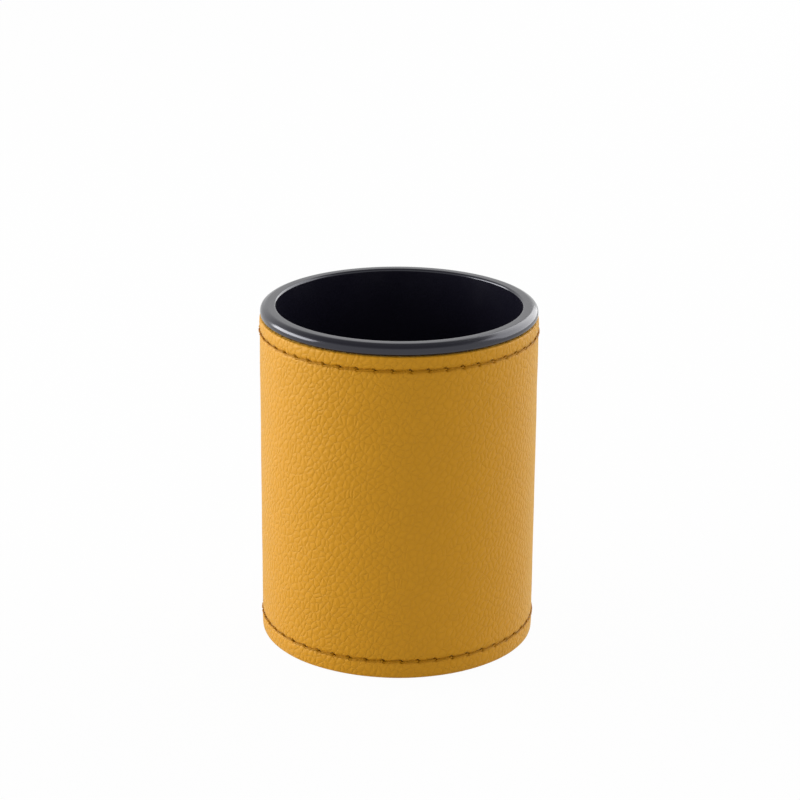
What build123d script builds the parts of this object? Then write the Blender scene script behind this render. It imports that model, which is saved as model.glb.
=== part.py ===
from build123d import *

import os
from math import cos, degrees, floor, pi, radians, sin, tan

# A round desk pen holder. A leather band is turned in at its top and bottom edges, stiffened with board,
# lapped and sewn at the back and closed by a base. A moulded plastic cup drops into it.
# The origin is the middle of the foot, +Z is up and the front faces -Y. Lengths are in millimetres.

# Overall sizes
body_diameter = 85.0  # over the leather
total_height = 105.8  # from the table to the crest of the rim

# Leather band
leather_thickness = 1.2
hem_depth = 9.0  # how far each turned edge reaches back inside
table_gap = 0.4  # the lower fold stands this far above the table
lap_gap = 0.1  # between the two thinned ends where they overlap

# Saddle stitching, two strands to a row
thread_diameter = 0.5
stitch_pitch = 5.3
top_edge_distance = 4.25  # from the upper fold to its row
bottom_edge_distance = 5.45  # from the lower fold to its row
lap_edge_distance = 4.9  # from the lap's edges to the row of the back seam
slit_slope = 45.0  # degrees from the row, falling to the right
top_row_start = -2.4  # degrees from the front to the row's first slit
bottom_row_start = 1.7
thread_gap = 0.05  # between thread and leather
leg_spacing_share = 1.8  # of the thread's diameter, between the two strands in a slit
bend_share = 0.7  # of the thread's diameter, the radius where a strand enters a slit
sink_share = 0.5  # of the thread's diameter, how deep the stitches dent the leather

# Stiffener
glue_gap = 0.05

# Base
base_thickness = 1.8
base_gap = 0.1  # around the board, inside the lower hem
felt_thickness = 1.2
felt_margin = 0.6  # the felt's edge inside the lower hem

# Inner cup
cup_wall = 1.8
cup_floor = 1.8
cup_draft = 0.6  # degrees
cup_clearance = 0.2  # between the cup and the stitches inside the top hem
cup_floor_round = 3.0
foot_width = 2.5
foot_height = 0.8
foot_round = 0.5
rim_height = 3.4
rim_side = 2.5  # height of the rim's outer side, with its rounds
rim_inset = 0.2  # the rim's edge behind the leather's face
rim_gap = 0.25  # the rim's underside over the upper fold
rim_crest_width = 2.6
rim_root_round = 0.4
shoulder_share = 0.7  # of rim_side
rim_foot_share = 0.15  # of rim_side
crest_round_share = 0.25  # of rim_crest_width, at the mouth
crest_bend_share = 1.2  # of rim_crest_width, where the crest starts to fall

overrun = 2.0  # how far a cutter passes the face it cuts

# Leather band, worked out
hem_layers = 2
half_turn = 180.0
full_turn = 360.0
body_radius = body_diameter / 2
hem_thickness = hem_layers * leather_thickness
hem_inner_radius = body_radius - hem_thickness
wall_inner_radius = body_radius - leather_thickness
rim_underside = total_height - rim_height
sleeve_bottom = table_gap
sleeve_top = rim_underside - rim_gap
lap_half_angle = degrees(lap_edge_distance / body_radius)

# Stitching, worked out
thread_radius = thread_diameter / 2
leg_spacing = leg_spacing_share * thread_diameter
leg_along = leg_spacing / 2 * cos(radians(slit_slope))
leg_across = leg_spacing / 2 * sin(radians(slit_slope))
slit_width = thread_diameter + 2 * thread_gap
slit_length = leg_spacing + slit_width
bend_radius = bend_share * thread_diameter
stitches_around = 2 * round(pi * body_radius / stitch_pitch)
chord_sag = (2 * pi * body_radius / stitches_around) ** 2 / (8 * body_radius)
dent_depth = sink_share * thread_diameter
dent_half_width = leg_across + thread_radius + 3 * thread_gap
dent_radius = (dent_half_width**2 + dent_depth**2) / (2 * dent_depth)
dent_axis_radius = body_radius + dent_radius - dent_depth
outer_level = thread_radius + thread_gap + chord_sag - dent_depth
inner_offset = thread_radius + thread_gap
inner_reach = thread_diameter + thread_gap + chord_sag
top_row_height = sleeve_top - top_edge_distance
bottom_row_height = sleeve_bottom + bottom_edge_distance

# Base and cup, worked out
base_top = felt_thickness + base_thickness
cup_radius = hem_inner_radius - inner_reach - cup_clearance
draft_slope = tan(radians(cup_draft))
cup_foot_radius = cup_radius - (rim_underside - base_top) * draft_slope
cup_floor_top = base_top + foot_height + cup_floor
cup_floor_radius = cup_foot_radius - cup_wall + (foot_height + cup_floor) * draft_slope
cup_mouth_radius = cup_radius - cup_wall + rim_height * draft_slope
rim_radius = body_radius - rim_inset


def turned(edges, start_angle=0, arc=full_turn):
    """Turn an outline, drawn as radius and height, about Z through an arc that starts at an angle from +X."""
    return Rot(0, 0, start_angle) * revolve(Plane.XZ * make_face(edges), Axis.Z, revolution_arc=arc)


def turned_box(inner, outer, low, high, start_angle=0, arc=full_turn):
    """A plain ring, or an arc of one, between two radii and two heights."""
    corners = [(inner, low), (outer, low), (outer, high), (inner, high)]
    return turned(Polyline(*corners, close=True).edges(), start_angle, arc)


def around_station(angle, height):
    """The plane on the leather at an angle from the front: X along the row, Y up and Z outward."""
    along = Vector(cos(radians(angle)), sin(radians(angle)), 0)
    outward = Vector(sin(radians(angle)), -cos(radians(angle)), 0)
    return Plane(outward * body_radius + Vector(0, 0, height), x_dir=along, z_dir=outward)


def upright_station(height):
    """The plane on the leather at the back, with X up the seam's row and Z outward."""
    return Plane((0, body_radius, height), x_dir=(0, 0, 1), z_dir=(0, 1, 0))


def row_around(start_angle, height):
    """The stations of a row right round the band."""
    step = full_turn / stitches_around
    return [around_station(start_angle + step * number, height) for number in range(stitches_around)]


def row_up_the_back():
    """The stations of the back seam, which keeps one stitch clear of the two hem rows."""
    low = bottom_row_height + stitch_pitch
    high = top_row_height - stitch_pitch
    count = max(1, floor((high - low) / stitch_pitch))
    return [upright_station(low + (high - low) * number / count) for number in range(count + 1)]


def slit(station, depth):
    """The cutter for one slanted needle slit through a given depth of leather."""
    outline = station * Pos(0, 0, overrun) * Rot(0, 0, -slit_slope) * SlotOverall(slit_length, slit_width)
    return extrude(outline, -(overrun + depth + overrun))


def leg_point(station, outside, arriving, level):
    """Where a strand's leg stands in a slit: outside stitches leave by the low end and arrive at the high end."""
    side = 1 if outside != arriving else -1
    return station.from_local_coords((side * leg_along, -side * leg_across, level))


def thread_along(corners):
    """A round thread through the corners of its path, bent evenly at each."""
    path = FilletPolyline(*corners, radius=bend_radius)
    return sweep((path ^ 0) * Circle(thread_radius), path)


def strand_around(stations, first, depth):
    """One closed strand of a row round the band, outside for a stitch and inside for the next, by turns."""
    inner_level = -depth - inner_offset
    before, here, there, after = stations[first : first + 4]
    start = leg_point(before, True, False, outer_level)
    down = leg_point(here, True, True, outer_level)
    up = leg_point(there, True, False, outer_level)
    end = leg_point(after, True, True, outer_level)
    turn = [
        (start + down) / 2,
        down,
        leg_point(here, False, False, inner_level),
        leg_point(there, False, True, inner_level),
        up,
        (up + end) / 2,
    ]
    piece = thread_along(turn)
    step = 2 * full_turn / stitches_around
    return Part() + [Rot(0, 0, step * number) * piece for number in range(stitches_around // 2)]


def strand_up_the_back(stations, starts_outside, depth):
    """One strand of the back seam, whose two ends are trimmed inside the first and the last slit."""
    inner_level = -depth - inner_offset
    middle = -depth / 2
    outside = starts_outside
    corners = [leg_point(stations[0], outside, False, middle)]
    for here, there in zip(stations, stations[1:]):
        level = outer_level if outside else inner_level
        corners.append(leg_point(here, outside, False, level))
        corners.append(leg_point(there, outside, True, level))
        outside = not outside
    corners.append(leg_point(stations[-1], outside, False, middle))
    return thread_along(corners)


def lap_cutter():
    """The stepped slit where the two thinned ends of the band overlap at the back."""
    middle = leather_thickness / 2
    low = sleeve_bottom - overrun
    high = sleeve_top + overrun
    tall = high - low
    half_height = (low + high) / 2
    reach = lap_half_angle + degrees(lap_gap / body_radius)
    between = turned_box(
        body_radius - middle - lap_gap / 2,
        body_radius - middle + lap_gap / 2,
        low,
        high,
        half_turn / 2 - reach,
        2 * reach,
    )
    outer_edge = around_station(half_turn - lap_half_angle, half_height)
    outer_cut = outer_edge * Pos(0, 0, (overrun - middle) / 2) * Box(lap_gap, tall, overrun + middle)
    inner_edge = around_station(half_turn + lap_half_angle, half_height)
    inner_end = hem_thickness + overrun
    inner_cut = inner_edge * Pos(0, 0, -(middle + inner_end) / 2) * Box(lap_gap, tall, inner_end - middle)
    return between + outer_cut + inner_cut


def dent_arc(height):
    """The shallow dent that a row of tight stitches presses into the leather, in section."""
    return ThreePointArc(
        (body_radius, height - dent_half_width),
        (body_radius - dent_depth, height),
        (body_radius, height + dent_half_width),
    )


def leather_sleeve():
    """The leather band with its turned hems, its lap, and the dents and slits of its stitching."""
    fold = leather_thickness
    crest_radius = body_radius - fold
    outline = [
        ThreePointArc(
            (hem_inner_radius, sleeve_bottom + fold),
            (crest_radius, sleeve_bottom),
            (body_radius, sleeve_bottom + fold),
        ),
        Line((body_radius, sleeve_bottom + fold), (body_radius, bottom_row_height - dent_half_width)),
        dent_arc(bottom_row_height),
        Line(
            (body_radius, bottom_row_height + dent_half_width), (body_radius, top_row_height - dent_half_width)
        ),
        dent_arc(top_row_height),
        Line((body_radius, top_row_height + dent_half_width), (body_radius, sleeve_top - fold)),
        ThreePointArc(
            (body_radius, sleeve_top - fold), (crest_radius, sleeve_top), (hem_inner_radius, sleeve_top - fold)
        ),
        Polyline(
            (hem_inner_radius, sleeve_top - fold),
            (hem_inner_radius, sleeve_top - hem_depth),
            (wall_inner_radius, sleeve_top - hem_depth),
            (wall_inner_radius, sleeve_bottom + hem_depth),
            (hem_inner_radius, sleeve_bottom + hem_depth),
            (hem_inner_radius, sleeve_bottom + fold),
        ),
    ]
    band = turned(outline)
    seam_low = back_row[0].origin.Z
    seam_high = back_row[-1].origin.Z
    seam_dent = Pos(0, dent_axis_radius, (seam_low + seam_high) / 2) * Cylinder(
        dent_radius, seam_high - seam_low
    )
    seam_dent += [Pos(0, dent_axis_radius, height) * Sphere(dent_radius) for height in (seam_low, seam_high)]
    slits = [slit(station, hem_thickness) for station in top_row + bottom_row]
    slits += [slit(station, leather_thickness) for station in back_row]
    return band - seam_dent - lap_cutter() - slits


def stiffener_board():
    """The board between the hems. It stops at both sides of the lap, which is sewn through leather alone."""
    return turned_box(
        hem_inner_radius + glue_gap,
        wall_inner_radius - glue_gap,
        sleeve_bottom + hem_depth + glue_gap,
        sleeve_top - hem_depth - glue_gap,
        half_turn / 2 + lap_half_angle,
        full_turn - 2 * lap_half_angle,
    )


def base_board():
    """The disc that closes the sleeve, glued by its edge inside the lower hem."""
    return Pos(0, 0, felt_thickness) * Cylinder(
        hem_inner_radius - base_gap, base_thickness, align=(Align.CENTER, Align.CENTER, Align.MIN)
    )


def base_felt():
    """The felt disc that the holder stands on."""
    return Cylinder(
        hem_inner_radius - felt_margin, felt_thickness, align=(Align.CENTER, Align.CENTER, Align.MIN)
    )


def inner_cup():
    """The moulded cup: drafted wall, foot ring and a domed rim that covers the leather's upper fold."""
    corners_and_rounds = [
        ((0, cup_floor_top), 0),
        ((cup_floor_radius, cup_floor_top), cup_floor_round),
        ((cup_mouth_radius, total_height), crest_round_share * rim_crest_width),
        ((cup_mouth_radius + rim_crest_width, total_height), crest_bend_share * rim_crest_width),
        ((rim_radius, rim_underside + rim_side), shoulder_share * rim_side),
        ((rim_radius, rim_underside), rim_foot_share * rim_side),
        ((cup_radius, rim_underside), rim_root_round),
        ((cup_foot_radius, base_top), foot_round),
        ((cup_foot_radius - foot_width, base_top), 0),
        ((cup_foot_radius - foot_width, base_top + foot_height), 0),
        ((0, base_top + foot_height), 0),
    ]
    corners = [corner for corner, _ in corners_and_rounds]
    rounds = [radius for _, radius in corners_and_rounds]
    return turned(FilletPolyline(*corners, radius=rounds, close=True).edges())


top_row = row_around(top_row_start, top_row_height)
bottom_row = row_around(bottom_row_start, bottom_row_height)
back_row = row_up_the_back()
parts = {
    "leather_sleeve": leather_sleeve(),
    "stiffener_board": stiffener_board(),
    "top_hem_strand_1": strand_around(top_row, 0, hem_thickness),
    "top_hem_strand_2": strand_around(top_row, 1, hem_thickness),
    "bottom_hem_strand_1": strand_around(bottom_row, 0, hem_thickness),
    "bottom_hem_strand_2": strand_around(bottom_row, 1, hem_thickness),
    "back_seam_strand_1": strand_up_the_back(back_row, True, leather_thickness),
    "back_seam_strand_2": strand_up_the_back(back_row, False, leather_thickness),
    "base_board": base_board(),
    "base_felt": base_felt(),
    "inner_cup": inner_cup(),
}

os.makedirs("parts", exist_ok=True)
for name, solid in parts.items():
    export_step(solid, f"parts/{name}.step")
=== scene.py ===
"""A round desk pen holder, dressed for rendering: stitched leather band, moulded cup and felted base."""

import math
from collections import namedtuple

import bpy
import numpy as np
from bpy.props import FloatProperty, FloatVectorProperty, IntProperty, PointerProperty
from mathutils import Matrix, Vector


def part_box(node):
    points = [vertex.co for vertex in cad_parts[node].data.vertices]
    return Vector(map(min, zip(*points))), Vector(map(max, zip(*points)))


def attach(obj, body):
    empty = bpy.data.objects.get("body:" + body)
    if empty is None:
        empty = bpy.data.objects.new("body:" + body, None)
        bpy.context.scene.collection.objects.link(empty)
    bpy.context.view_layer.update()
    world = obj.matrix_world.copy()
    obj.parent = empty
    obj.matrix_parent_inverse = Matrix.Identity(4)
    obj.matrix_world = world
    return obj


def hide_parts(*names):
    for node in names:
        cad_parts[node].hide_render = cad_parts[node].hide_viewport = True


bl_info = {
    "name": "Stitched Pen Holder",
    "version": (1, 0, 0),
    "blender": (4, 5, 0),
    "location": "3D View > Sidebar > Pen Holder",
    "description": "Builds the leather band, stitching, cup, base and studio of a round desk pen holder",
    "category": "Add Mesh",
}

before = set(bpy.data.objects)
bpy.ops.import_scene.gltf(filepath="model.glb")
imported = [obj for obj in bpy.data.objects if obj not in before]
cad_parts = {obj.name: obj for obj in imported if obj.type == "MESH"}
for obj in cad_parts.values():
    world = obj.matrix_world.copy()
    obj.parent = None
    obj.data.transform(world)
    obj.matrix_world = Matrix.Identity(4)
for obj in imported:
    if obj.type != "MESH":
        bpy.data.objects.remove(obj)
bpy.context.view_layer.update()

MM = 0.001
FULL_TURN = 2 * math.pi
BACK = math.pi
UP = np.array([0, 0, 1.0])
WHITE = (1, 1, 1, 1)

# Turned pieces are closed at the axis by a small flat cap
CAP_RADIUS = 1.0 * MM

# What the frame gives
BAND_LOW, BAND_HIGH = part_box("leather_sleeve")
FELT_LOW, FELT_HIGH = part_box("base_felt")
CUP_LOW, CUP_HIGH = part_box("inner_cup")
BAND_RADIUS = max(BAND_HIGH[0], BAND_HIGH[1], -BAND_LOW[1])
BAND_BOTTOM = BAND_LOW[2]
BAND_TOP = BAND_HIGH[2]


def linear(hex_colour):
    """The linear RGB of an sRGB hex colour such as #C8922E."""
    shares = [int(hex_colour[place : place + 2], 16) / 255 for place in (1, 3, 5)]
    return tuple(s / 12.92 if s <= 0.04045 else ((s + 0.055) / 1.055) ** 2.4 for s in shares)


def colour_setting(hex_colour, name, description):
    """A colour that a user may change, given as sRGB and held as linear RGB."""
    return FloatVectorProperty(
        name=name,
        description=description,
        subtype="COLOR",
        size=3,
        min=0,
        max=1,
        default=linear(hex_colour),
    )


def length_setting(millimetres, name, description):
    """A length that a user may change, given in millimetres and held in metres."""
    return FloatProperty(
        name=name, description=description, unit="LENGTH", min=0, precision=5, default=millimetres * MM
    )


def angle_setting(degrees, name, description):
    """An angle that a user may change, given in degrees and held in radians."""
    return FloatProperty(
        name=name, description=description, subtype="ANGLE", default=math.radians(degrees)
    )


def amount_setting(value, name, description, least=0):
    """A plain amount that a user may change."""
    return FloatProperty(name=name, description=description, min=least, default=value)


class BandSettings(bpy.types.PropertyGroup):
    """The leather band."""

    thickness: length_setting(1.2, "Leather thickness", "One layer of the leather")
    hem_depth: length_setting(9.0, "Hem depth", "How far the turned edges reach back inside")
    lap_gap: length_setting(0.1, "Lap gap", "Between the two thinned ends at the back")
    lap_lift: length_setting(0.2, "Lap lift", "How far the upper end of the lap stands proud at its edge")
    hem_bulge: length_setting(0.08, "Hem bulge", "How far the hem swells between its row and its fold")
    unevenness: length_setting(0.05, "Unevenness", "Slow waves of the hand-wrapped band")
    fold_fullness: amount_setting(4.5, "Fold fullness", "2 is round, more is squarer", least=2)
    grain: length_setting(2.05, "Grain", "Size of the pebbles of the leather's grain")
    colour: colour_setting("#C2860B", "Leather", "The finish on top of the grain")
    # Painted shade: the creases of the grain are coloured a little darker, standing in for the shade that
    # falls in them.
    crease_shade_colour: colour_setting("#BC810A", "Creases", "The finish in the creases of the grain")


class StitchSettings(bpy.types.PropertyGroup):
    """The saddle stitching, two strands to a row."""

    thread_diameter: length_setting(0.5, "Thread", "Diameter of the thread")
    stitches: IntProperty(
        name="Stitches", description="Stitches in a row round the band", default=50, min=8
    )
    seam_pitch: length_setting(5.3, "Seam stitch", "Least length of the back seam's stitches")
    top_edge: length_setting(4.25, "Top edge distance", "From the upper fold to its row")
    bottom_edge: length_setting(5.45, "Bottom edge distance", "From the lower fold to its row")
    lap_edge: length_setting(4.9, "Lap edge distance", "From the lap's edges to the row of the back seam")
    slit_slope: angle_setting(45.0, "Slit slope", "Of the needle slits, falling to the right")
    top_start: angle_setting(-2.4, "Top row start", "From the front to the top row's first slit")
    bottom_start: angle_setting(1.7, "Bottom row start", "From the front to the bottom row's first slit")
    dent_depth: length_setting(0.25, "Dent", "How deep the tight stitches dent the leather")
    twist: length_setting(2.6, "Twist", "Length of one turn of the thread's plies")
    colour: colour_setting("#AE7607", "Thread", "The dyed thread")


class CupSettings(bpy.types.PropertyGroup):
    """The moulded cup."""

    wall: length_setting(1.8, "Wall", "Thickness of the cup's wall")
    floor: length_setting(1.8, "Floor", "Thickness of the cup's floor")
    floor_round: length_setting(3.0, "Floor round", "Radius between the wall and the floor inside")
    draft: angle_setting(0.6, "Draft", "Slope of the wall")
    rim_height: length_setting(3.4, "Rim height", "From the rim's underside to its crest")
    rim_side: length_setting(2.5, "Rim side", "Height of the rim's outer side, with its rounds")
    rim_overhang: length_setting(3.03, "Rim overhang", "From the wall to the rim's edge")
    crest: length_setting(3.0, "Crest", "Width of the flat crest")
    foot_width: length_setting(2.5, "Foot width", "Width of the foot ring")
    foot_height: length_setting(0.8, "Foot height", "Height of the foot ring")
    colour: colour_setting("#13121C", "Plastic", "The charcoal plastic")


class BaseSettings(bpy.types.PropertyGroup):
    """The base and the stiffener."""

    board_colour: colour_setting("#8A7761", "Board", "Grey-brown pressed board")
    felt_colour: colour_setting("#1C1C1E", "Felt", "Needled felt")
    fibre: length_setting(0.5, "Fibre", "Length of the fibres that show in the board and the felt")


class StageSettings(bpy.types.PropertyGroup):
    """The studio."""

    distance: length_setting(700.1, "Camera distance", "From the holder's axis, along the floor")
    height: length_setting(317.5, "Camera height", "Above the floor")
    pitch: angle_setting(19.134, "Camera pitch", "Below the horizon")
    yaw: angle_setting(0.035, "Camera yaw", "To the right of the holder's axis")
    roll: angle_setting(0.423, "Camera roll", "Turns the holder's top to the right")
    lens: amount_setting(108.19, "Lens", "Focal length in millimetres", least=1)
    key_power: amount_setting(11.2, "Key", "Power of the lamp on the left, in watts")
    rim_power: amount_setting(27.0, "Rim", "Power of the lamp behind on the right, in watts")
    ceiling: amount_setting(0.32, "Ceiling", "Brightness overhead, white being 1")


def settings(name):
    """One group of settings, as the scene holds it."""
    return getattr(bpy.context.scene, "pen_holder_" + name)


# Materials


def set_inputs(tree, node, inputs):
    """Sets each input of a node to a value, or links it to a socket."""
    for name, value in inputs.items():
        socket = node.inputs[name]
        if isinstance(value, bpy.types.NodeSocket):
            tree.links.new(value, socket)
        else:
            socket.default_value = value


def add_node(tree, kind, inputs=None, **values):
    """Adds one node with its settings and its inputs."""
    made = tree.nodes.new(kind)
    for name, value in values.items():
        setattr(made, name, value)
    set_inputs(tree, made, inputs or {})
    return made


def empty_tree(owner):
    """The cleared node tree of a material or a world."""
    owner.use_nodes = True
    owner.node_tree.nodes.clear()
    return owner.node_tree


def new_material(name):
    """A plain material with its tree, its shader and its coordinates in the holder's frame."""
    material = bpy.data.materials.new(name)
    tree = empty_tree(material)
    shader = add_node(tree, "ShaderNodeBsdfPrincipled")
    add_node(tree, "ShaderNodeOutputMaterial", {"Surface": shader.outputs["BSDF"]})
    place = add_node(tree, "ShaderNodeTexCoord").outputs["Object"]
    return material, tree, shader, place


def with_alpha(colour):
    """A colour as a socket takes it."""
    return (*colour, 1)


def per(length):
    """The texture scale that gives a pattern of that size in metres."""
    return 1 / length


def calculated(tree, operation, *terms, **values):
    """The result of one calculation on values or sockets."""
    inputs = dict(enumerate(terms))
    return add_node(tree, "ShaderNodeMath", inputs, operation=operation, **values).outputs[0]


def noise(tree, place, size, detail, distortion=0):
    """The outputs of a cloudy noise with features of that size."""
    inputs = {"Vector": place, "Scale": per(size), "Detail": detail, "Distortion": distortion}
    return add_node(tree, "ShaderNodeTexNoise", inputs).outputs


def blended(tree, share, first, second):
    """A colour between two others, the second where the share is 1."""
    inputs = {0: share, 6: with_alpha(first), 7: with_alpha(second)}
    return add_node(tree, "ShaderNodeMix", inputs, data_type="RGBA").outputs[2]


def mottled(tree, share, colour, darkest, lightest):
    """A colour that varies from a darker to a lighter shade of itself."""
    dark = [darkest * part for part in colour]
    light = [min(1, lightest * part) for part in colour]
    return blended(tree, share, dark, light)


def raised(tree, height, strength, depth):
    """The normals of a fine relief of that depth, from a height of 0 to 1."""
    inputs = {"Strength": strength, "Distance": depth, "Height": height}
    return add_node(tree, "ShaderNodeBump", inputs).outputs["Normal"]


def unrolled(tree, place):
    """Flat coordinates along the band from the lap's edge and up it, turned and drawn out for the grain.

    The distance from the axis is added to the height, so that the grain runs on over the folds.
    """
    slant = math.radians(57)
    stretch = (1.18, 0.9, 1)
    edge = settings("stitching").lap_edge / BAND_RADIUS
    from_lap = add_node(
        tree, "ShaderNodeVectorRotate", {"Vector": place, "Angle": edge}, rotation_type="Z_AXIS"
    )
    parts = add_node(tree, "ShaderNodeSeparateXYZ", {0: from_lap.outputs[0]}).outputs
    front = calculated(tree, "MULTIPLY", parts["Y"], -1)
    angle = calculated(tree, "ARCTAN2", parts["X"], front)
    along = calculated(tree, "MULTIPLY", angle, BAND_RADIUS)
    level = add_node(tree, "ShaderNodeVectorMath", {0: place, 1: (1, 1, 0)}, operation="MULTIPLY")
    out = add_node(tree, "ShaderNodeVectorMath", {0: level.outputs[0]}, operation="LENGTH")
    up = calculated(tree, "ADD", parts["Z"], out.outputs["Value"])
    flat = add_node(tree, "ShaderNodeCombineXYZ", {"X": along, "Y": up})
    turned = add_node(
        tree,
        "ShaderNodeMapping",
        {"Vector": flat.outputs[0], "Rotation": (0, 0, slant), "Scale": stretch},
        vector_type="TEXTURE",
    )
    return turned.outputs[0]


def pebbled(tree, place, size, rise_share):
    """The height of a pebble grain: 0 in its creases, and steeply up to 1 within a share of a pebble."""
    cells = add_node(
        tree,
        "ShaderNodeTexVoronoi",
        {"Vector": place, "Scale": per(size), "Randomness": 0.8},
        feature="DISTANCE_TO_EDGE",
        voronoi_dimensions="2D",
    )
    inputs = {"Value": cells.outputs["Distance"], "From Min": 0, "From Max": rise_share}
    rise = add_node(tree, "ShaderNodeMapRange", inputs).outputs["Result"]
    return calculated(tree, "POWER", rise, 0.5)


def grained_leather():
    """Pigment-finished mustard cowhide: pebble grain, creases darkened by painted shade, and a soft,
    yellowish gloss.
    """
    band = settings("band")
    small_grain = 0.5 * band.grain
    drift_size = 2.6 * band.grain
    drift_reach = 1.1 * band.grain
    pore = 0.35 * MM
    blotch = 14 * MM
    grain_depth = 0.175 * MM
    small_share = 0.2
    pore_share = 0.2
    crease_shade_tone = 0.45
    blotch_share = 0.5
    material, tree, shader, place = new_material("grained_leather")
    place = unrolled(tree, place)
    drift = noise(tree, place, drift_size, detail=2)["Color"]
    centred = add_node(
        tree, "ShaderNodeVectorMath", {0: drift, 1: (0.5, 0.5, 0.5)}, operation="SUBTRACT"
    )
    warped = add_node(
        tree,
        "ShaderNodeVectorMath",
        {0: centred.outputs[0], 1: (drift_reach,) * 3, 2: place},
        operation="MULTIPLY_ADD",
    ).outputs[0]
    pores = noise(tree, place, pore, detail=3)["Fac"]
    blotches = noise(tree, place, blotch, detail=2)["Fac"]
    pebbles = pebbled(tree, warped, band.grain, rise_share=0.45)
    small_pebbles = pebbled(tree, warped, small_grain, rise_share=0.5)
    grain = calculated(tree, "MULTIPLY_ADD", small_pebbles, small_share, pebbles)
    height = calculated(tree, "MULTIPLY_ADD", pores, pore_share, grain)
    # Painted shade: the pebbles' creases blend towards the darker crease colour.
    tone = calculated(tree, "MULTIPLY_ADD", pebbles, 1 - crease_shade_tone, crease_shade_tone)
    uneven = calculated(tree, "MULTIPLY_ADD", blotches, blotch_share, tone)
    share = calculated(tree, "SUBTRACT", uneven, blotch_share / 2, use_clamp=True)
    roughness = add_node(tree, "ShaderNodeMapRange", {"Value": pebbles, "To Min": 0.62, "To Max": 0.5})
    finish = {
        "Base Color": blended(tree, share, band.crease_shade_colour, band.colour),
        "Roughness": roughness.outputs["Result"],
        "Normal": raised(tree, height, strength=1, depth=grain_depth),
        "IOR": 1.5,
        "Specular IOR Level": 0.42,
        "Specular Tint": (1, 0.96, 0.55, 1),
        "Sheen Weight": 0.5,
        "Sheen Roughness": 0.3,
        "Sheen Tint": (1, 0.8, 0.3, 1),
    }
    set_inputs(tree, shader, finish)
    return material


def bonded_thread():
    """Dyed and waxed polyester thread: fine fibres of uneven tone and a dull, yellowish shine."""
    colour = settings("stitching").colour
    fibre = 0.12 * MM
    fibre_depth = 0.03 * MM
    material, tree, shader, place = new_material("bonded_thread")
    fibres = noise(tree, place, fibre, detail=2)["Fac"]
    finish = {
        "Base Color": mottled(tree, fibres, colour, darkest=0.55, lightest=1.25),
        "Normal": raised(tree, fibres, strength=0.5, depth=fibre_depth),
        "Roughness": 0.5,
        "IOR": 1.5,
        "Specular IOR Level": 0.3,
        "Specular Tint": (1, 0.86, 0.4, 1),
    }
    set_inputs(tree, shader, finish)
    return material


def satin_plastic():
    """Charcoal moulded polystyrene with a satin tool finish: even, slightly cloudy reflections."""
    cloud = 9 * MM
    spark = 0.25 * MM
    spark_depth = 0.02 * MM
    material, tree, shader, place = new_material("satin_plastic")
    sparks = noise(tree, place, spark, detail=2)["Fac"]
    roughness = add_node(
        tree,
        "ShaderNodeMapRange",
        {
            "Value": noise(tree, place, cloud, detail=3)["Fac"],
            "From Min": 0.3,
            "From Max": 0.7,
            "To Min": 0.17,
            "To Max": 0.23,
        },
    )
    finish = {
        "Base Color": with_alpha(settings("cup").colour),
        "Roughness": roughness.outputs["Result"],
        "Normal": raised(tree, sparks, strength=0.15, depth=spark_depth),
        "Specular Tint": (0.9, 0.91, 1, 1),
        "IOR": 1.58,
    }
    set_inputs(tree, shader, finish)
    return material


def pressed_board():
    """Grey-brown board pressed from waste paper: matt, with flecks and short fibres."""
    base = settings("base")
    fleck_depth = 0.05 * MM
    material, tree, shader, place = new_material("pressed_board")
    flecks = noise(tree, place, base.fibre, detail=4)["Fac"]
    finish = {
        "Base Color": mottled(tree, flecks, base.board_colour, darkest=0.55, lightest=1.35),
        "Normal": raised(tree, flecks, strength=0.4, depth=fleck_depth),
        "Roughness": 0.9,
    }
    set_inputs(tree, shader, finish)
    return material


def needled_felt():
    """Black needled wool felt: matt, matted fibres with a faint soft sheen."""
    base = settings("base")
    nap = 0.2 * MM
    material, tree, shader, place = new_material("needled_felt")
    fibres = noise(tree, place, base.fibre, detail=5, distortion=2.5)["Fac"]
    finish = {
        "Base Color": mottled(tree, fibres, base.felt_colour, darkest=0.4, lightest=2.0),
        "Normal": raised(tree, fibres, strength=0.9, depth=nap),
        "Roughness": 0.95,
        "Sheen Weight": 0.3,
        "Sheen Roughness": 0.5,
    }
    set_inputs(tree, shader, finish)
    return material


# Mesh tools


def new_piece(name, places, faces, material, body, node):
    """Makes one mesh piece that stands for a node of the frame, smooth but for its sharp edges."""
    sharp = math.radians(50)
    mesh = bpy.data.meshes.new(name)
    mesh.from_pydata(np.asarray(places).tolist(), [], faces)
    mesh.validate()
    mesh.shade_smooth()
    mesh.set_sharp_from_angle(angle=sharp)
    mesh.materials.append(material)
    piece = bpy.data.objects.new(name, mesh)
    bpy.context.collection.objects.link(piece)
    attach(piece, body)
    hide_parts(node)
    return piece


def rounded(corners, radii, arc_steps, closed=False):
    """The points of a path through corners, each rounded by its own radius and a run of arc steps."""
    corners = [np.asarray(corner, float) for corner in corners]
    count = len(corners)
    points = []
    for place, radius in zip(range(count), radii):
        corner = corners[place]
        at_end = not closed and place in (0, count - 1)
        if radius == 0 or at_end:
            points.append(corner)
            continue
        back = corners[place - 1] - corner
        ahead = corners[(place + 1) % count] - corner
        back /= np.linalg.norm(back)
        ahead /= np.linalg.norm(ahead)
        half = math.acos(max(-1, min(1, float(back @ ahead)))) / 2
        middle = back + ahead
        middle /= np.linalg.norm(middle)
        centre = corner + middle * radius / math.sin(half)
        sweep = math.pi / 2 - half
        side = ahead - middle * (ahead @ middle)
        side /= np.linalg.norm(side)
        for step in range(arc_steps + 1):
            turn = sweep * (2 * step / arc_steps - 1)
            points.append(centre + radius * (-middle * math.cos(turn) + side * math.sin(turn)))
    return np.array(points)


def around(angle):
    """The direction from the axis at an angle from the front, counted to the right."""
    return np.array([np.sin(angle), -np.cos(angle), np.zeros_like(angle)]).T


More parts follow.
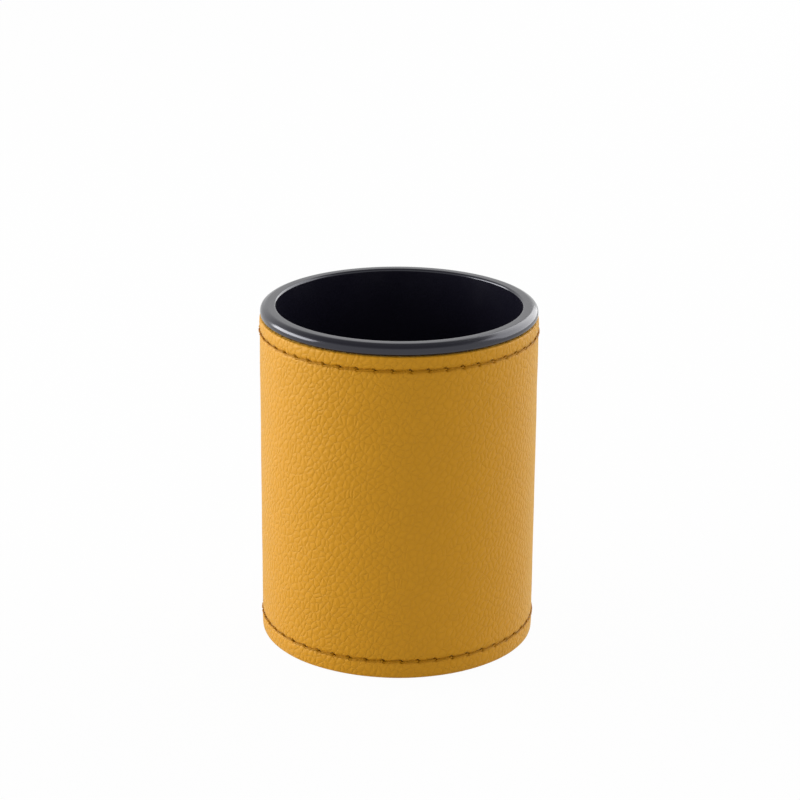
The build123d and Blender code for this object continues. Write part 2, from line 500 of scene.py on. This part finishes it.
def lathe(outline, columns):
    """The places and faces of an outline of radius and height turned about the axis, its ends capped."""
    angles = np.arange(columns) * FULL_TURN / columns
    ways = around(angles)
    places = outline[:, None, :1] * ways[None] + outline[:, None, 1:] * UP
    return places.reshape(-1, 3), tube_faces(len(outline), columns, closed=False)


def tube_faces(rows, columns, closed):
    """The faces between rings of places; the last ring joins the first, or both ends are capped."""
    faces = []
    for row in range(rows if closed else rows - 1):
        for column in range(columns):
            here = row * columns + column
            beside = row * columns + (column + 1) % columns
            above = (row + 1) % rows * columns + column
            corner = (row + 1) % rows * columns + (column + 1) % columns
            faces.append((here, beside, corner, above))
    if not closed:
        faces.append(tuple(range(columns))[::-1])
        faces.append(tuple(range((rows - 1) * columns, rows * columns)))
    return faces


def smooth_step(value):
    """0 below 0, 1 above 1 and a smooth rise between."""
    value = np.clip(value, 0, 1)
    return value * value * (3 - 2 * value)


def slow_waves(along, height, length, seed):
    """A smooth uneven field of about -1 to 1, with waves of about that length."""
    random = np.random.default_rng(seed)
    waves = 7
    highest = 4
    shortest = 0.6
    longest = 1.7
    field = np.zeros_like(along)
    for _ in range(waves):
        heading = random.uniform(0, FULL_TURN)
        wave = length * random.uniform(shortest, longest)
        phase = random.uniform(0, FULL_TURN)
        run = along * math.cos(heading) + height * math.sin(heading)
        field += np.sin(FULL_TURN * run / wave + phase)
    return field / highest


# Stitching

# A slit of a row: its middle on the face of the leather, and its directions
Station = namedtuple("Station", "origin along across outward")


def stitch_sizes(closed=True):
    """The sizes that slits, dents and strands share, of a row round the band or of a straight one."""
    stitching = settings("stitching")
    diameter = stitching.thread_diameter
    spacing = 1.8 * diameter
    pitch = FULL_TURN * BAND_RADIUS / stitching.stitches
    gap = 0.1 * diameter
    outer_share = 0.55
    sag = pitch**2 / (8 * BAND_RADIUS) if closed else 0
    return {
        "pitch": pitch,
        "leg_along": spacing / 2 * math.cos(stitching.slit_slope),
        "leg_across": spacing / 2 * math.sin(stitching.slit_slope),
        "outer_share": outer_share,
        "slit_length": outer_share * spacing + diameter + 2 * gap,
        "slit_width": diameter + 2 * gap,
        "outer_level": diameter / 2 + gap + sag - stitching.dent_depth,
        "inner_offset": diameter / 2 + gap,
        "bend": 0.7 * diameter,
    }


def row_around(start, height):
    """The stations of a row right round the band."""
    count = settings("stitching").stitches
    stations = []
    for number in range(count):
        angle = start + FULL_TURN * number / count
        outward = around(angle)
        along = np.array([math.cos(angle), math.sin(angle), 0])
        origin = outward * BAND_RADIUS + UP * height
        stations.append(Station(origin, along, UP, outward))
    return stations


def seam_heights():
    """The heights of the slits of the back seam, which keeps a stitch clear of the hem rows."""
    stitching = settings("stitching")
    pitch = stitching.seam_pitch
    low = BAND_BOTTOM + stitching.bottom_edge + pitch
    high = BAND_TOP - stitching.top_edge - pitch
    count = math.floor((high - low) / pitch)
    return [low + (high - low) * number / count for number in range(count + 1)]


def row_up_the_back():
    """The stations of the back seam."""
    outward = np.array([0, 1.0, 0])
    across = np.array([1.0, 0, 0])
    face = outward * BAND_RADIUS
    return [Station(face + UP * height, UP, across, outward) for height in seam_heights()]


def leg_point(station, outside, arriving, level, sizes):
    """Where a strand's leg stands in a slit.

    Outside stitches leave by its low end and arrive at its high end. The two legs of a slit are drawn
    closer together on the outside than on the inside.
    """
    side = 1 if outside != arriving else -1
    spread = sizes["outer_share"] if level > 0 else 1
    shift = side * spread * (station.along * sizes["leg_along"] - station.across * sizes["leg_across"])
    return station.origin + shift + station.outward * level


def strand_path(stations, starts_outside, depth, closed):
    """The centre line of one strand: outside for a stitch and inside for the next, by turns."""
    sizes = stitch_sizes(closed)
    crown = 0.1 * settings("stitching").thread_diameter
    crown_round = 3 * sizes["pitch"]
    inner_level = -depth - sizes["inner_offset"]
    pairs = list(zip(stations, stations[1:] + stations[:1]))
    if not closed:
        pairs.pop()
    corners, radii = [], []
    outside = starts_outside
    for here, there in pairs:
        level = sizes["outer_level"] if outside else inner_level
        start = leg_point(here, outside, False, level, sizes)
        end = leg_point(there, outside, True, level, sizes)
        corners += [start, end]
        radii += [sizes["bend"]] * 2
        if outside:
            outward = here.outward + there.outward
            corners.insert(-1, (start + end) / 2 + outward / np.linalg.norm(outward) * crown)
            radii.insert(-1, crown_round)
        outside = not outside
    if not closed:
        corners.insert(0, leg_point(stations[0], starts_outside, False, -depth / 2, sizes))
        corners.append(leg_point(stations[-1], outside, False, -depth / 2, sizes))
        radii = [0] + radii + [0]
    return rounded(corners, radii, arc_steps=5, closed=closed)


def evenly(path, spacing, closed):
    """The same path with points about that far apart."""
    if closed:
        path = np.vstack([path, path[:1]])
    steps = np.linalg.norm(np.diff(path, axis=0), axis=1)
    run = np.concatenate([[0], np.cumsum(steps)])
    count = max(2, round(run[-1] / spacing))
    places = np.linspace(0, run[-1], count + 1)
    if closed:
        places = places[:-1]
    return np.array([np.interp(places, run, path[:, axis]) for axis in range(3)]).T


def twisted_thread(path, closed):
    """The places and faces of a three-ply thread along a path, its plies winding round each other."""
    stitching = settings("stitching")
    spacing = 0.16 * MM
    sides = 15
    plies = 3
    groove = 0.3
    slanted = [0.3, 0.5, 0.8]
    points = evenly(path, spacing, closed)
    count = len(points)
    ahead = np.roll(points, -1, axis=0) - np.roll(points, 1, axis=0)
    if not closed:
        ahead[0] = points[1] - points[0]
        ahead[-1] = points[-1] - points[-2]
    ahead /= np.linalg.norm(ahead, axis=1)[:, None]
    side = np.cross(ahead[0], slanted)
    side /= np.linalg.norm(side)
    sides_found = []
    for way in ahead:
        side = side - way * (side @ way)
        side = side / np.linalg.norm(side)
        sides_found.append(side)
    normals = np.array(sides_found)
    binormals = np.cross(ahead, normals)
    turns = count * spacing / stitching.twist
    if closed:
        last = normals[-1] - ahead[0] * (normals[-1] @ ahead[0])
        drift = math.atan2(last @ binormals[0], last @ normals[0])
        turns = round(turns) - drift / FULL_TURN
    spin = FULL_TURN * turns * np.arange(count) / count
    ring = FULL_TURN * np.arange(sides) / sides
    lobes = 1 - groove + groove * np.abs(np.cos(plies * ring / 2))
    radius = stitching.thread_diameter / 2 * lobes
    turn = spin[:, None] + ring[None]
    places = points[:, None] + radius[None, :, None] * (
        np.cos(turn)[..., None] * normals[:, None] + np.sin(turn)[..., None] * binormals[:, None]
    )
    return places.reshape(-1, 3), tube_faces(count, sides, closed)


def stitch_relief(along, across, pitch):
    """How far the leather lies above its face near a row, by the distance to the nearest slit."""
    stitching = settings("stitching")
    sizes = stitch_sizes()
    slit_depth = 1.1 * MM
    slit_reach = 0.58 * sizes["slit_length"]
    slit_half_width = 0.56 * sizes["slit_width"]
    thread_reach = 0.85 * stitching.thread_diameter
    groove_reach = 1.1 * MM
    pull_reach = 0.8 * MM
    puff_place = 1.3 * MM
    puff_reach = 0.8 * MM
    slope = stitching.slit_slope
    lengthways = (along * math.cos(slope) - across * math.sin(slope)) / slit_reach
    sideways = (along * math.sin(slope) + across * math.cos(slope)) / slit_half_width
    slit = np.exp(-(lengthways**4) - sideways**4)
    leg_along = sizes["outer_share"] * sizes["leg_along"]
    leg_across = sizes["outer_share"] * sizes["leg_across"]
    rise = 2 * leg_across / (pitch - 2 * leg_along)
    line = rise * (along - np.sign(along) * pitch / 2)
    under_thread = np.exp(-(((across - line) / thread_reach) ** 2))
    under_thread *= smooth_step(np.abs(along) / leg_along)
    groove = np.exp(-((across / groove_reach) ** 2))
    pull = np.exp(-(along**2 + across**2) / pull_reach**2)
    puff = np.exp(-(((np.abs(across) - puff_place) / puff_reach) ** 2))
    puff *= np.cos(math.pi * along / pitch) ** 2
    pressed = 1.05 * under_thread + 0.6 * groove + 0.5 * pull - 0.15 * puff
    return -slit_depth * slit - stitching.dent_depth * pressed


# Leather band


def steps_between(start, end, spacing):
    """Heights from the start to just before the end."""
    count = max(1, round(abs(end - start) / spacing))
    return list(np.linspace(start, end, count + 1)[:-1])


# A row of the band: its place, its outward direction where it shows, and whether it keeps all columns
BandRow = namedtuple("BandRow", "radius height out up fine", defaults=(0, 0, False))


def fold_point(turn):
    """Where a pressed fold of unit size lies at a turn from its outer side: squarer than round."""
    share = 2 / settings("band").fold_fullness
    out, up = math.cos(turn), math.sin(turn)
    return math.copysign(abs(out) ** share, out), math.copysign(abs(up) ** share, up)


def band_outline():
    """The band's closed section as rows: round the lower fold, up, over the upper fold, down inside."""
    band = settings("band")
    stitching = settings("stitching")
    fold = band.thickness
    fold_steps = 12
    strip = 1.5 * MM
    fine_step = 0.2 * MM
    coarse_step = 0.5 * MM
    hem_step = 0.6 * MM
    hidden_step = 20 * MM
    low = BAND_BOTTOM + stitching.bottom_edge
    high = BAND_TOP - stitching.top_edge
    upper_hem = BAND_TOP - band.hem_depth
    lower_hem = BAND_BOTTOM + band.hem_depth
    crest = BAND_RADIUS - fold
    hem_inner = BAND_RADIUS - 2 * fold
    rows = []
    for step in range(fold_steps):
        out, up = fold_point(math.pi + math.pi * step / fold_steps)
        rows.append(BandRow(crest + fold * out, BAND_BOTTOM + fold + fold * up, out, up))
    stretches = [
        (BAND_BOTTOM + fold, low - strip, coarse_step, False),
        (low - strip, low + strip, fine_step, True),
        (low + strip, high - strip, coarse_step, False),
        (high - strip, high + strip, fine_step, True),
        (high + strip, BAND_TOP - fold, coarse_step, False),
    ]
    for start, end, spacing, is_fine in stretches:
        for height in steps_between(start, end, spacing):
            rows.append(BandRow(BAND_RADIUS, height, 1, 0, is_fine))
    for step in range(fold_steps + 1):
        out, up = fold_point(math.pi * step / fold_steps)
        rows.append(BandRow(crest + fold * out, BAND_TOP - fold + fold * up, out, up))
    for height in steps_between(BAND_TOP - fold, upper_hem, hem_step)[1:]:
        rows.append(BandRow(hem_inner, height))
    rows.append(BandRow(hem_inner, upper_hem))
    for height in steps_between(upper_hem, lower_hem, hidden_step):
        rows.append(BandRow(crest, height))
    rows.append(BandRow(crest, lower_hem))
    rows.append(BandRow(hem_inner, lower_hem))
    for height in steps_between(lower_hem, BAND_BOTTOM + fold, hem_step)[1:]:
        rows.append(BandRow(hem_inner, height))
    return rows


def band_columns():
    """The band's columns from its upper end to its lower end: angles, which are kept, and zones."""
    band = settings("band")
    stitching = settings("stitching")
    columns_to_stitch = 20
    coarse = 4
    half = stitching.lap_edge / BAND_RADIUS
    step = FULL_TURN / (columns_to_stitch * stitching.stitches)
    gap = band.lap_gap / BAND_RADIUS
    stretches = [
        ("upper_end", BACK - half, BACK + half, 1),
        ("girth", BACK + half + gap, BACK + FULL_TURN - half - gap, coarse),
        ("lower_end", BACK + FULL_TURN - half, BACK + FULL_TURN + half, coarse),
    ]
    angles, kept, zones = [], [], []
    for zone, start, end, every in stretches:
        count = max(1, round((end - start) / step))
        for number in range(count + 1):
            angles.append(start + (end - start) * number / count)
            kept.append(number % every == 0 or number == count)
            zones.append(zone)
    return np.array(angles), np.array(kept), np.array(zones)


def nearest_slit(place, stations):
    """How far each place lies past the nearest of some evenly spaced stations."""
    stations = np.asarray(stations)
    step = stations[1] - stations[0]
    number = np.clip(np.round((place - stations[0]) / step), 0, len(stations) - 1)
    return place - stations[0] - number * step


def band_relief(angle, height):
    """How far the outer face of the leather stands above its plain cylinder."""
    band = settings("band")
    stitching = settings("stitching")
    edge = stitching.lap_edge
    wave_length = 22 * MM
    wave_seed = 5
    lift_reach = 0.9 * edge
    edge_round = 0.25 * MM
    round_share = 0.6
    top_row = BAND_TOP - stitching.top_edge
    bottom_row = BAND_BOTTOM + stitching.bottom_edge
    pitch = FULL_TURN * BAND_RADIUS / stitching.stitches
    turn = FULL_TURN / stitching.stitches
    relief = band.unevenness * slow_waves(angle * BAND_RADIUS, height, wave_length, wave_seed)
    for start, row in ((stitching.top_start, top_row), (stitching.bottom_start, bottom_row)):
        along = ((angle - start) / turn + 0.5) % 1 - 0.5
        relief += stitch_relief(along * pitch, height - row, pitch)
    seam = seam_heights()
    seam_pitch = seam[1] - seam[0]
    beside = (BACK - angle) * BAND_RADIUS
    beyond = np.maximum(np.maximum(seam[0] - height, height - seam[-1]), 0)
    near = np.where(np.abs(beside) < edge, 1 - smooth_step(beyond / MM), 0)
    relief += near * stitch_relief(nearest_slit(height, seam), beside, seam_pitch)
    for row, fold in ((top_row, BAND_TOP), (bottom_row, BAND_BOTTOM)):
        share = np.clip((height - row) / (fold - row), 0, 1)
        relief += band.hem_bulge * np.sin(math.pi * share) ** 2
    lap_start = BACK - edge / BAND_RADIUS
    past_edge = (angle - lap_start) * BAND_RADIUS
    lift = 1 - smooth_step(past_edge / lift_reach)
    rounding = np.exp(-((past_edge / edge_round) ** 2))
    return relief + np.where(past_edge >= 0, band.lap_lift * (lift - round_share * rounding), 0)


def band_places():
    """Where every row and column of the band meets."""
    band = settings("band")
    rows = band_outline()
    angles, kept, zones = band_columns()
    radius = np.array([[row.radius] for row in rows]) + 0 * angles
    height = np.array([[row.height] for row in rows]) + 0 * angles
    out = np.array([[row.out] for row in rows])
    up = np.array([[row.up] for row in rows])
    relief = band_relief(np.broadcast_to(angles, radius.shape), height)
    relief = relief * np.clip(out, 0, 1) ** 2
    radius = radius + relief * out
    height = height + relief * up
    middle = BAND_RADIUS - band.thickness / 2
    upper = np.maximum(radius, middle + band.lap_gap / 2)
    under = np.minimum(radius, middle - band.lap_gap / 2)
    radius = np.where(zones == "lower_end", under, radius)
    radius = np.where(zones == "upper_end", upper, radius)
    places = radius[..., None] * around(angles)[None] + height[..., None] * UP
    return places, rows, kept


def leather_band():
    """The band as one mesh: coarse rows keep some of the columns, the rows at the stitches keep all."""
    places, rows, kept = band_places()
    count, width = places.shape[:2]
    shown = np.array([[row.fine] for row in rows]) | kept[None]
    number = np.full((count, width), -1)
    number[shown] = np.arange(shown.sum())
    coarse = np.flatnonzero(kept)
    faces = []
    for row in range(count):
        after = (row + 1) % count
        if rows[row].fine and rows[after].fine:
            columns = range(width)
        else:
            columns = coarse
        for left, right in zip(columns, columns[1:]):
            lower = [n for n in number[row, left : right + 1] if n >= 0]
            upper = [n for n in number[after, left : right + 1] if n >= 0]
            faces.append(lower + upper[::-1])
    faces.append(number[:, 0])
    faces.append(number[:, -1][::-1])
    return places[shown], [[int(n) for n in face] for face in faces]


# Cup and base


def cup_outline():
    """The cup's section, from the middle of its underside out, up over the rim and down to its floor."""
    cup = settings("cup")
    top = CUP_HIGH[2]
    bottom = CUP_LOW[2]
    rim_radius = max(CUP_HIGH[0], CUP_HIGH[1])
    underside = top - cup.rim_height
    slope = math.tan(cup.draft)
    radius = rim_radius - cup.rim_overhang
    foot_radius = radius - (underside - bottom) * slope
    floor_top = bottom + cup.foot_height + cup.floor
    floor_radius = foot_radius - cup.wall + (floor_top - bottom) * slope
    mouth = radius - cup.wall + cup.rim_height * slope
    foot_inner_round = 0.2 * MM
    foot_round = 0.5 * MM
    root_round = 0.4 * MM
    lip_round = 0.42 * cup.rim_side
    shoulder_round = 0.7 * cup.rim_side
    crest_round = 0.7 * cup.crest
    mouth_round = 0.25 * cup.crest
    corners_and_rounds = [
        ((CAP_RADIUS, bottom + cup.foot_height), 0),
        ((foot_radius - cup.foot_width, bottom + cup.foot_height), foot_inner_round),
        ((foot_radius - cup.foot_width, bottom), foot_inner_round),
        ((foot_radius, bottom), foot_round),
        ((radius, underside), root_round),
        ((rim_radius, underside), lip_round),
        ((rim_radius, underside + cup.rim_side), shoulder_round),
        ((mouth + cup.crest, top), crest_round),
        ((mouth, top), mouth_round),
        ((floor_radius, floor_top), cup.floor_round),
        ((CAP_RADIUS, floor_top), 0),
    ]
    corners, rounds = zip(*corners_and_rounds)
    return rounded(corners, rounds, arc_steps=10)


def felt_outline():
    """The section of the felt disc, from the middle of its underside out and back, its edges soft."""
    radius = max(FELT_HIGH[0], FELT_HIGH[1])
    low, high = FELT_LOW[2], FELT_HIGH[2]
    lower_round = 0.35 * (high - low)
    upper_round = 0.5 * lower_round
    corners = [(CAP_RADIUS, low), (radius, low), (radius, high), (CAP_RADIUS, high)]
    return rounded(corners, [0, lower_round, upper_round, 0], arc_steps=6)


# Studio


def seen_directly(tree):
    """1 for what the camera sees, straight or in glossy and clear surfaces, 0 for light on matt ones."""
    path = add_node(tree, "ShaderNodeLightPath").outputs
    glossy = calculated(tree, "MAXIMUM", path["Is Camera Ray"], path["Is Glossy Ray"])
    return calculated(tree, "MAXIMUM", glossy, path["Is Transmission Ray"])


def add_floor():
    """A white table top that keeps a faint shadow, is clear from below and lies a hair under the felt."""
    reach = 3.0
    level = -0.1 * MM
    white_share = 0.97
    grey = (0.65, 0.65, 0.65, 1)
    sides = ((-reach, -reach), (reach, -reach), (reach, reach), (-reach, reach))
    mesh = bpy.data.meshes.new("table_top")
    mesh.from_pydata([(*side, level) for side in sides], [], [(0, 1, 2, 3)])
    floor = bpy.data.objects.new("table_top", mesh)
    bpy.context.collection.objects.link(floor)
    material = bpy.data.materials.new("white_table")
    tree = empty_tree(material)
    paint = add_node(tree, "ShaderNodeBsdfDiffuse", {"Color": grey})
    glow = add_node(tree, "ShaderNodeEmission", {"Color": WHITE, "Strength": 1})
    share = calculated(tree, "MULTIPLY", seen_directly(tree), white_share)
    top = add_node(tree, "ShaderNodeMixShader", {0: share, 1: paint.outputs[0], 2: glow.outputs[0]})
    below = add_node(tree, "ShaderNodeNewGeometry").outputs["Backfacing"]
    clear = add_node(tree, "ShaderNodeBsdfTransparent")
    both = add_node(tree, "ShaderNodeMixShader", {0: below, 1: top.outputs[0], 2: clear.outputs[0]})
    add_node(tree, "ShaderNodeOutputMaterial", {"Surface": both.outputs[0]})
    mesh.materials.append(material)


def add_room():
    """A white backdrop all round, under a dim ceiling."""
    wall_top = 0.35
    ceiling_edge = 0.85
    world = bpy.data.worlds.new("white_room")
    tree = empty_tree(world)
    way = add_node(tree, "ShaderNodeTexCoord").outputs["Generated"]
    parts = add_node(tree, "ShaderNodeSeparateXYZ", {0: way})
    backdrop = add_node(
        tree,
        "ShaderNodeMapRange",
        {
            "Value": parts.outputs["Z"],
            "From Min": wall_top,
            "From Max": ceiling_edge,
            "To Min": 1,
            "To Max": settings("stage").ceiling,
        },
        interpolation_type="SMOOTHSTEP",
    )
    strength = backdrop.outputs["Result"]
    back = add_node(tree, "ShaderNodeBackground", {"Color": WHITE, "Strength": strength})
    add_node(tree, "ShaderNodeOutputWorld", {"Surface": back.outputs[0]})
    bpy.context.scene.world = world


def add_lamp(name, place, size, power):
    """A softbox of some width and height that faces the middle of the holder."""
    data = bpy.data.lights.new(name, "AREA")
    data.energy = power
    data.shape = "RECTANGLE"
    data.size, data.size_y = size
    lamp = bpy.data.objects.new(name, data)
    bpy.context.collection.objects.link(lamp)
    middle = Vector((0, 0, (BAND_BOTTOM + BAND_TOP) / 2))
    lamp.location = place
    lamp.rotation_mode = "QUATERNION"
    lamp.rotation_quaternion = (middle - Vector(place)).to_track_quat("-Z", "Y")


def add_camera():
    """The camera at the photograph's place."""
    stage = settings("stage")
    data = bpy.data.cameras.new("camera")
    data.lens = stage.lens
    data.sensor_width = 36
    camera = bpy.data.objects.new("camera", data)
    bpy.context.collection.objects.link(camera)
    look = Matrix.Rotation(-stage.yaw, 4, "Z") @ Matrix.Rotation(math.pi / 2 - stage.pitch, 4, "X")
    stand = Matrix.Translation((0, -stage.distance, stage.height))
    camera.matrix_world = stand @ look @ Matrix.Rotation(stage.roll, 4, "Z")
    bpy.context.scene.camera = camera


# Operators


class PENHOLDER_OT_leather_band(bpy.types.Operator):
    """Builds the leather band with its hems, its lap and the dents of its stitching"""

    bl_idname = "pen_holder.leather_band"
    bl_label = "Leather Band"

    def execute(self, context):
        places, faces = leather_band()
        new_piece("leather_band", places, faces, grained_leather(), "sleeve", "leather_sleeve")
        return {"FINISHED"}


class PENHOLDER_OT_stitching(bpy.types.Operator):
    """Builds the six strands of the two hem rows and the back seam"""

    bl_idname = "pen_holder.stitching"
    bl_label = "Stitching"

    def execute(self, context):
        stitching = settings("stitching")
        leather = settings("band").thickness
        thread = bonded_thread()
        top_row = BAND_TOP - stitching.top_edge
        bottom_row = BAND_BOTTOM + stitching.bottom_edge
        rows = {
            "top_hem": (row_around(stitching.top_start, top_row), 2 * leather, True),
            "bottom_hem": (row_around(stitching.bottom_start, bottom_row), 2 * leather, True),
            "back_seam": (row_up_the_back(), leather, False),
        }
        for name, (stations, depth, closed) in rows.items():
            for number in (1, 2):
                path = strand_path(stations, number == 1, depth, closed)
                places, faces = twisted_thread(path, closed)
                node = f"{name}_strand_{number}"
                new_piece(f"{name}_thread_{number}", places, faces, thread, "sleeve", node)
        return {"FINISHED"}


class PENHOLDER_OT_boards(bpy.types.Operator):
    """Finishes the stiffener and the base board, whose shapes come from the frame"""

    bl_idname = "pen_holder.boards"
    bl_label = "Boards"

    def execute(self, context):
        board = pressed_board()
        for name in ("stiffener_board", "base_board"):
            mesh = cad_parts[name].data
            mesh.materials.clear()
            mesh.materials.append(board)
        return {"FINISHED"}


class PENHOLDER_OT_base_felt(bpy.types.Operator):
    """Builds the felt disc that the holder stands on"""

    bl_idname = "pen_holder.base_felt"
    bl_label = "Base Felt"

    def execute(self, context):
        places, faces = lathe(felt_outline(), columns=192)
        new_piece("felt_disc", places, faces, needled_felt(), "sleeve", "base_felt")
        return {"FINISHED"}


class PENHOLDER_OT_inner_cup(bpy.types.Operator):
    """Builds the moulded cup"""

    bl_idname = "pen_holder.inner_cup"
    bl_label = "Inner Cup"

    def execute(self, context):
        places, faces = lathe(cup_outline(), columns=256)
        new_piece("moulded_cup", places, faces, satin_plastic(), "liner", "inner_cup")
        return {"FINISHED"}


class PENHOLDER_OT_stage(bpy.types.Operator):
    """Sets up the floor, the lamps, the room and the camera"""

    bl_idname = "pen_holder.stage"
    bl_label = "Studio"

    def execute(self, context):
        add_floor()
        add_room()
        stage = settings("stage")
        add_lamp("key_softbox", place=(-0.97, 0.12, 0.3), size=(0.9, 0.5), power=stage.key_power)
        add_lamp("rim_softbox", place=(1.15, 0.8, 0.6), size=(2.2, 1.6), power=stage.rim_power)
        add_camera()
        context.scene.view_settings.view_transform = "Standard"
        return {"FINISHED"}


# Panel


class PENHOLDER_PT_panel(bpy.types.Panel):
    """Lists the pieces of the pen holder and their settings"""

    bl_idname = "PENHOLDER_PT_panel"
    bl_label = "Pen Holder"
    bl_space_type = "VIEW_3D"
    bl_region_type = "UI"
    bl_category = "Pen Holder"

    def draw(self, context):
        for name, operators in PANEL_SECTIONS.items():
            box = self.layout.box()
            group = settings(name)
            for key in group.__annotations__:
                box.prop(group, key)
            for operator in operators:
                box.operator(operator.bl_idname)


SETTINGS = {
    "band": BandSettings,
    "stitching": StitchSettings,
    "cup": CupSettings,
    "base": BaseSettings,
    "stage": StageSettings,
}
PANEL_SECTIONS = {
    "band": [PENHOLDER_OT_leather_band],
    "stitching": [PENHOLDER_OT_stitching],
    "cup": [PENHOLDER_OT_inner_cup],
    "base": [PENHOLDER_OT_boards, PENHOLDER_OT_base_felt],
    "stage": [PENHOLDER_OT_stage],
}
CLASSES = (
    *SETTINGS.values(),
    PENHOLDER_OT_leather_band,
    PENHOLDER_OT_stitching,
    PENHOLDER_OT_inner_cup,
    PENHOLDER_OT_boards,
    PENHOLDER_OT_base_felt,
    PENHOLDER_OT_stage,
    PENHOLDER_PT_panel,
)


def register():
    for cls in CLASSES:
        bpy.utils.register_class(cls)
    for name, group in SETTINGS.items():
        setattr(bpy.types.Scene, "pen_holder_" + name, PointerProperty(type=group))


def unregister():
    for name in SETTINGS:
        delattr(bpy.types.Scene, "pen_holder_" + name)
    for cls in reversed(CLASSES):
        bpy.utils.unregister_class(cls)


def main():
    register()
    bpy.ops.pen_holder.leather_band()
    bpy.ops.pen_holder.stitching()
    bpy.ops.pen_holder.inner_cup()
    bpy.ops.pen_holder.boards()
    bpy.ops.pen_holder.base_felt()
    bpy.ops.pen_holder.stage()


if __name__ == "__main__":
    main()
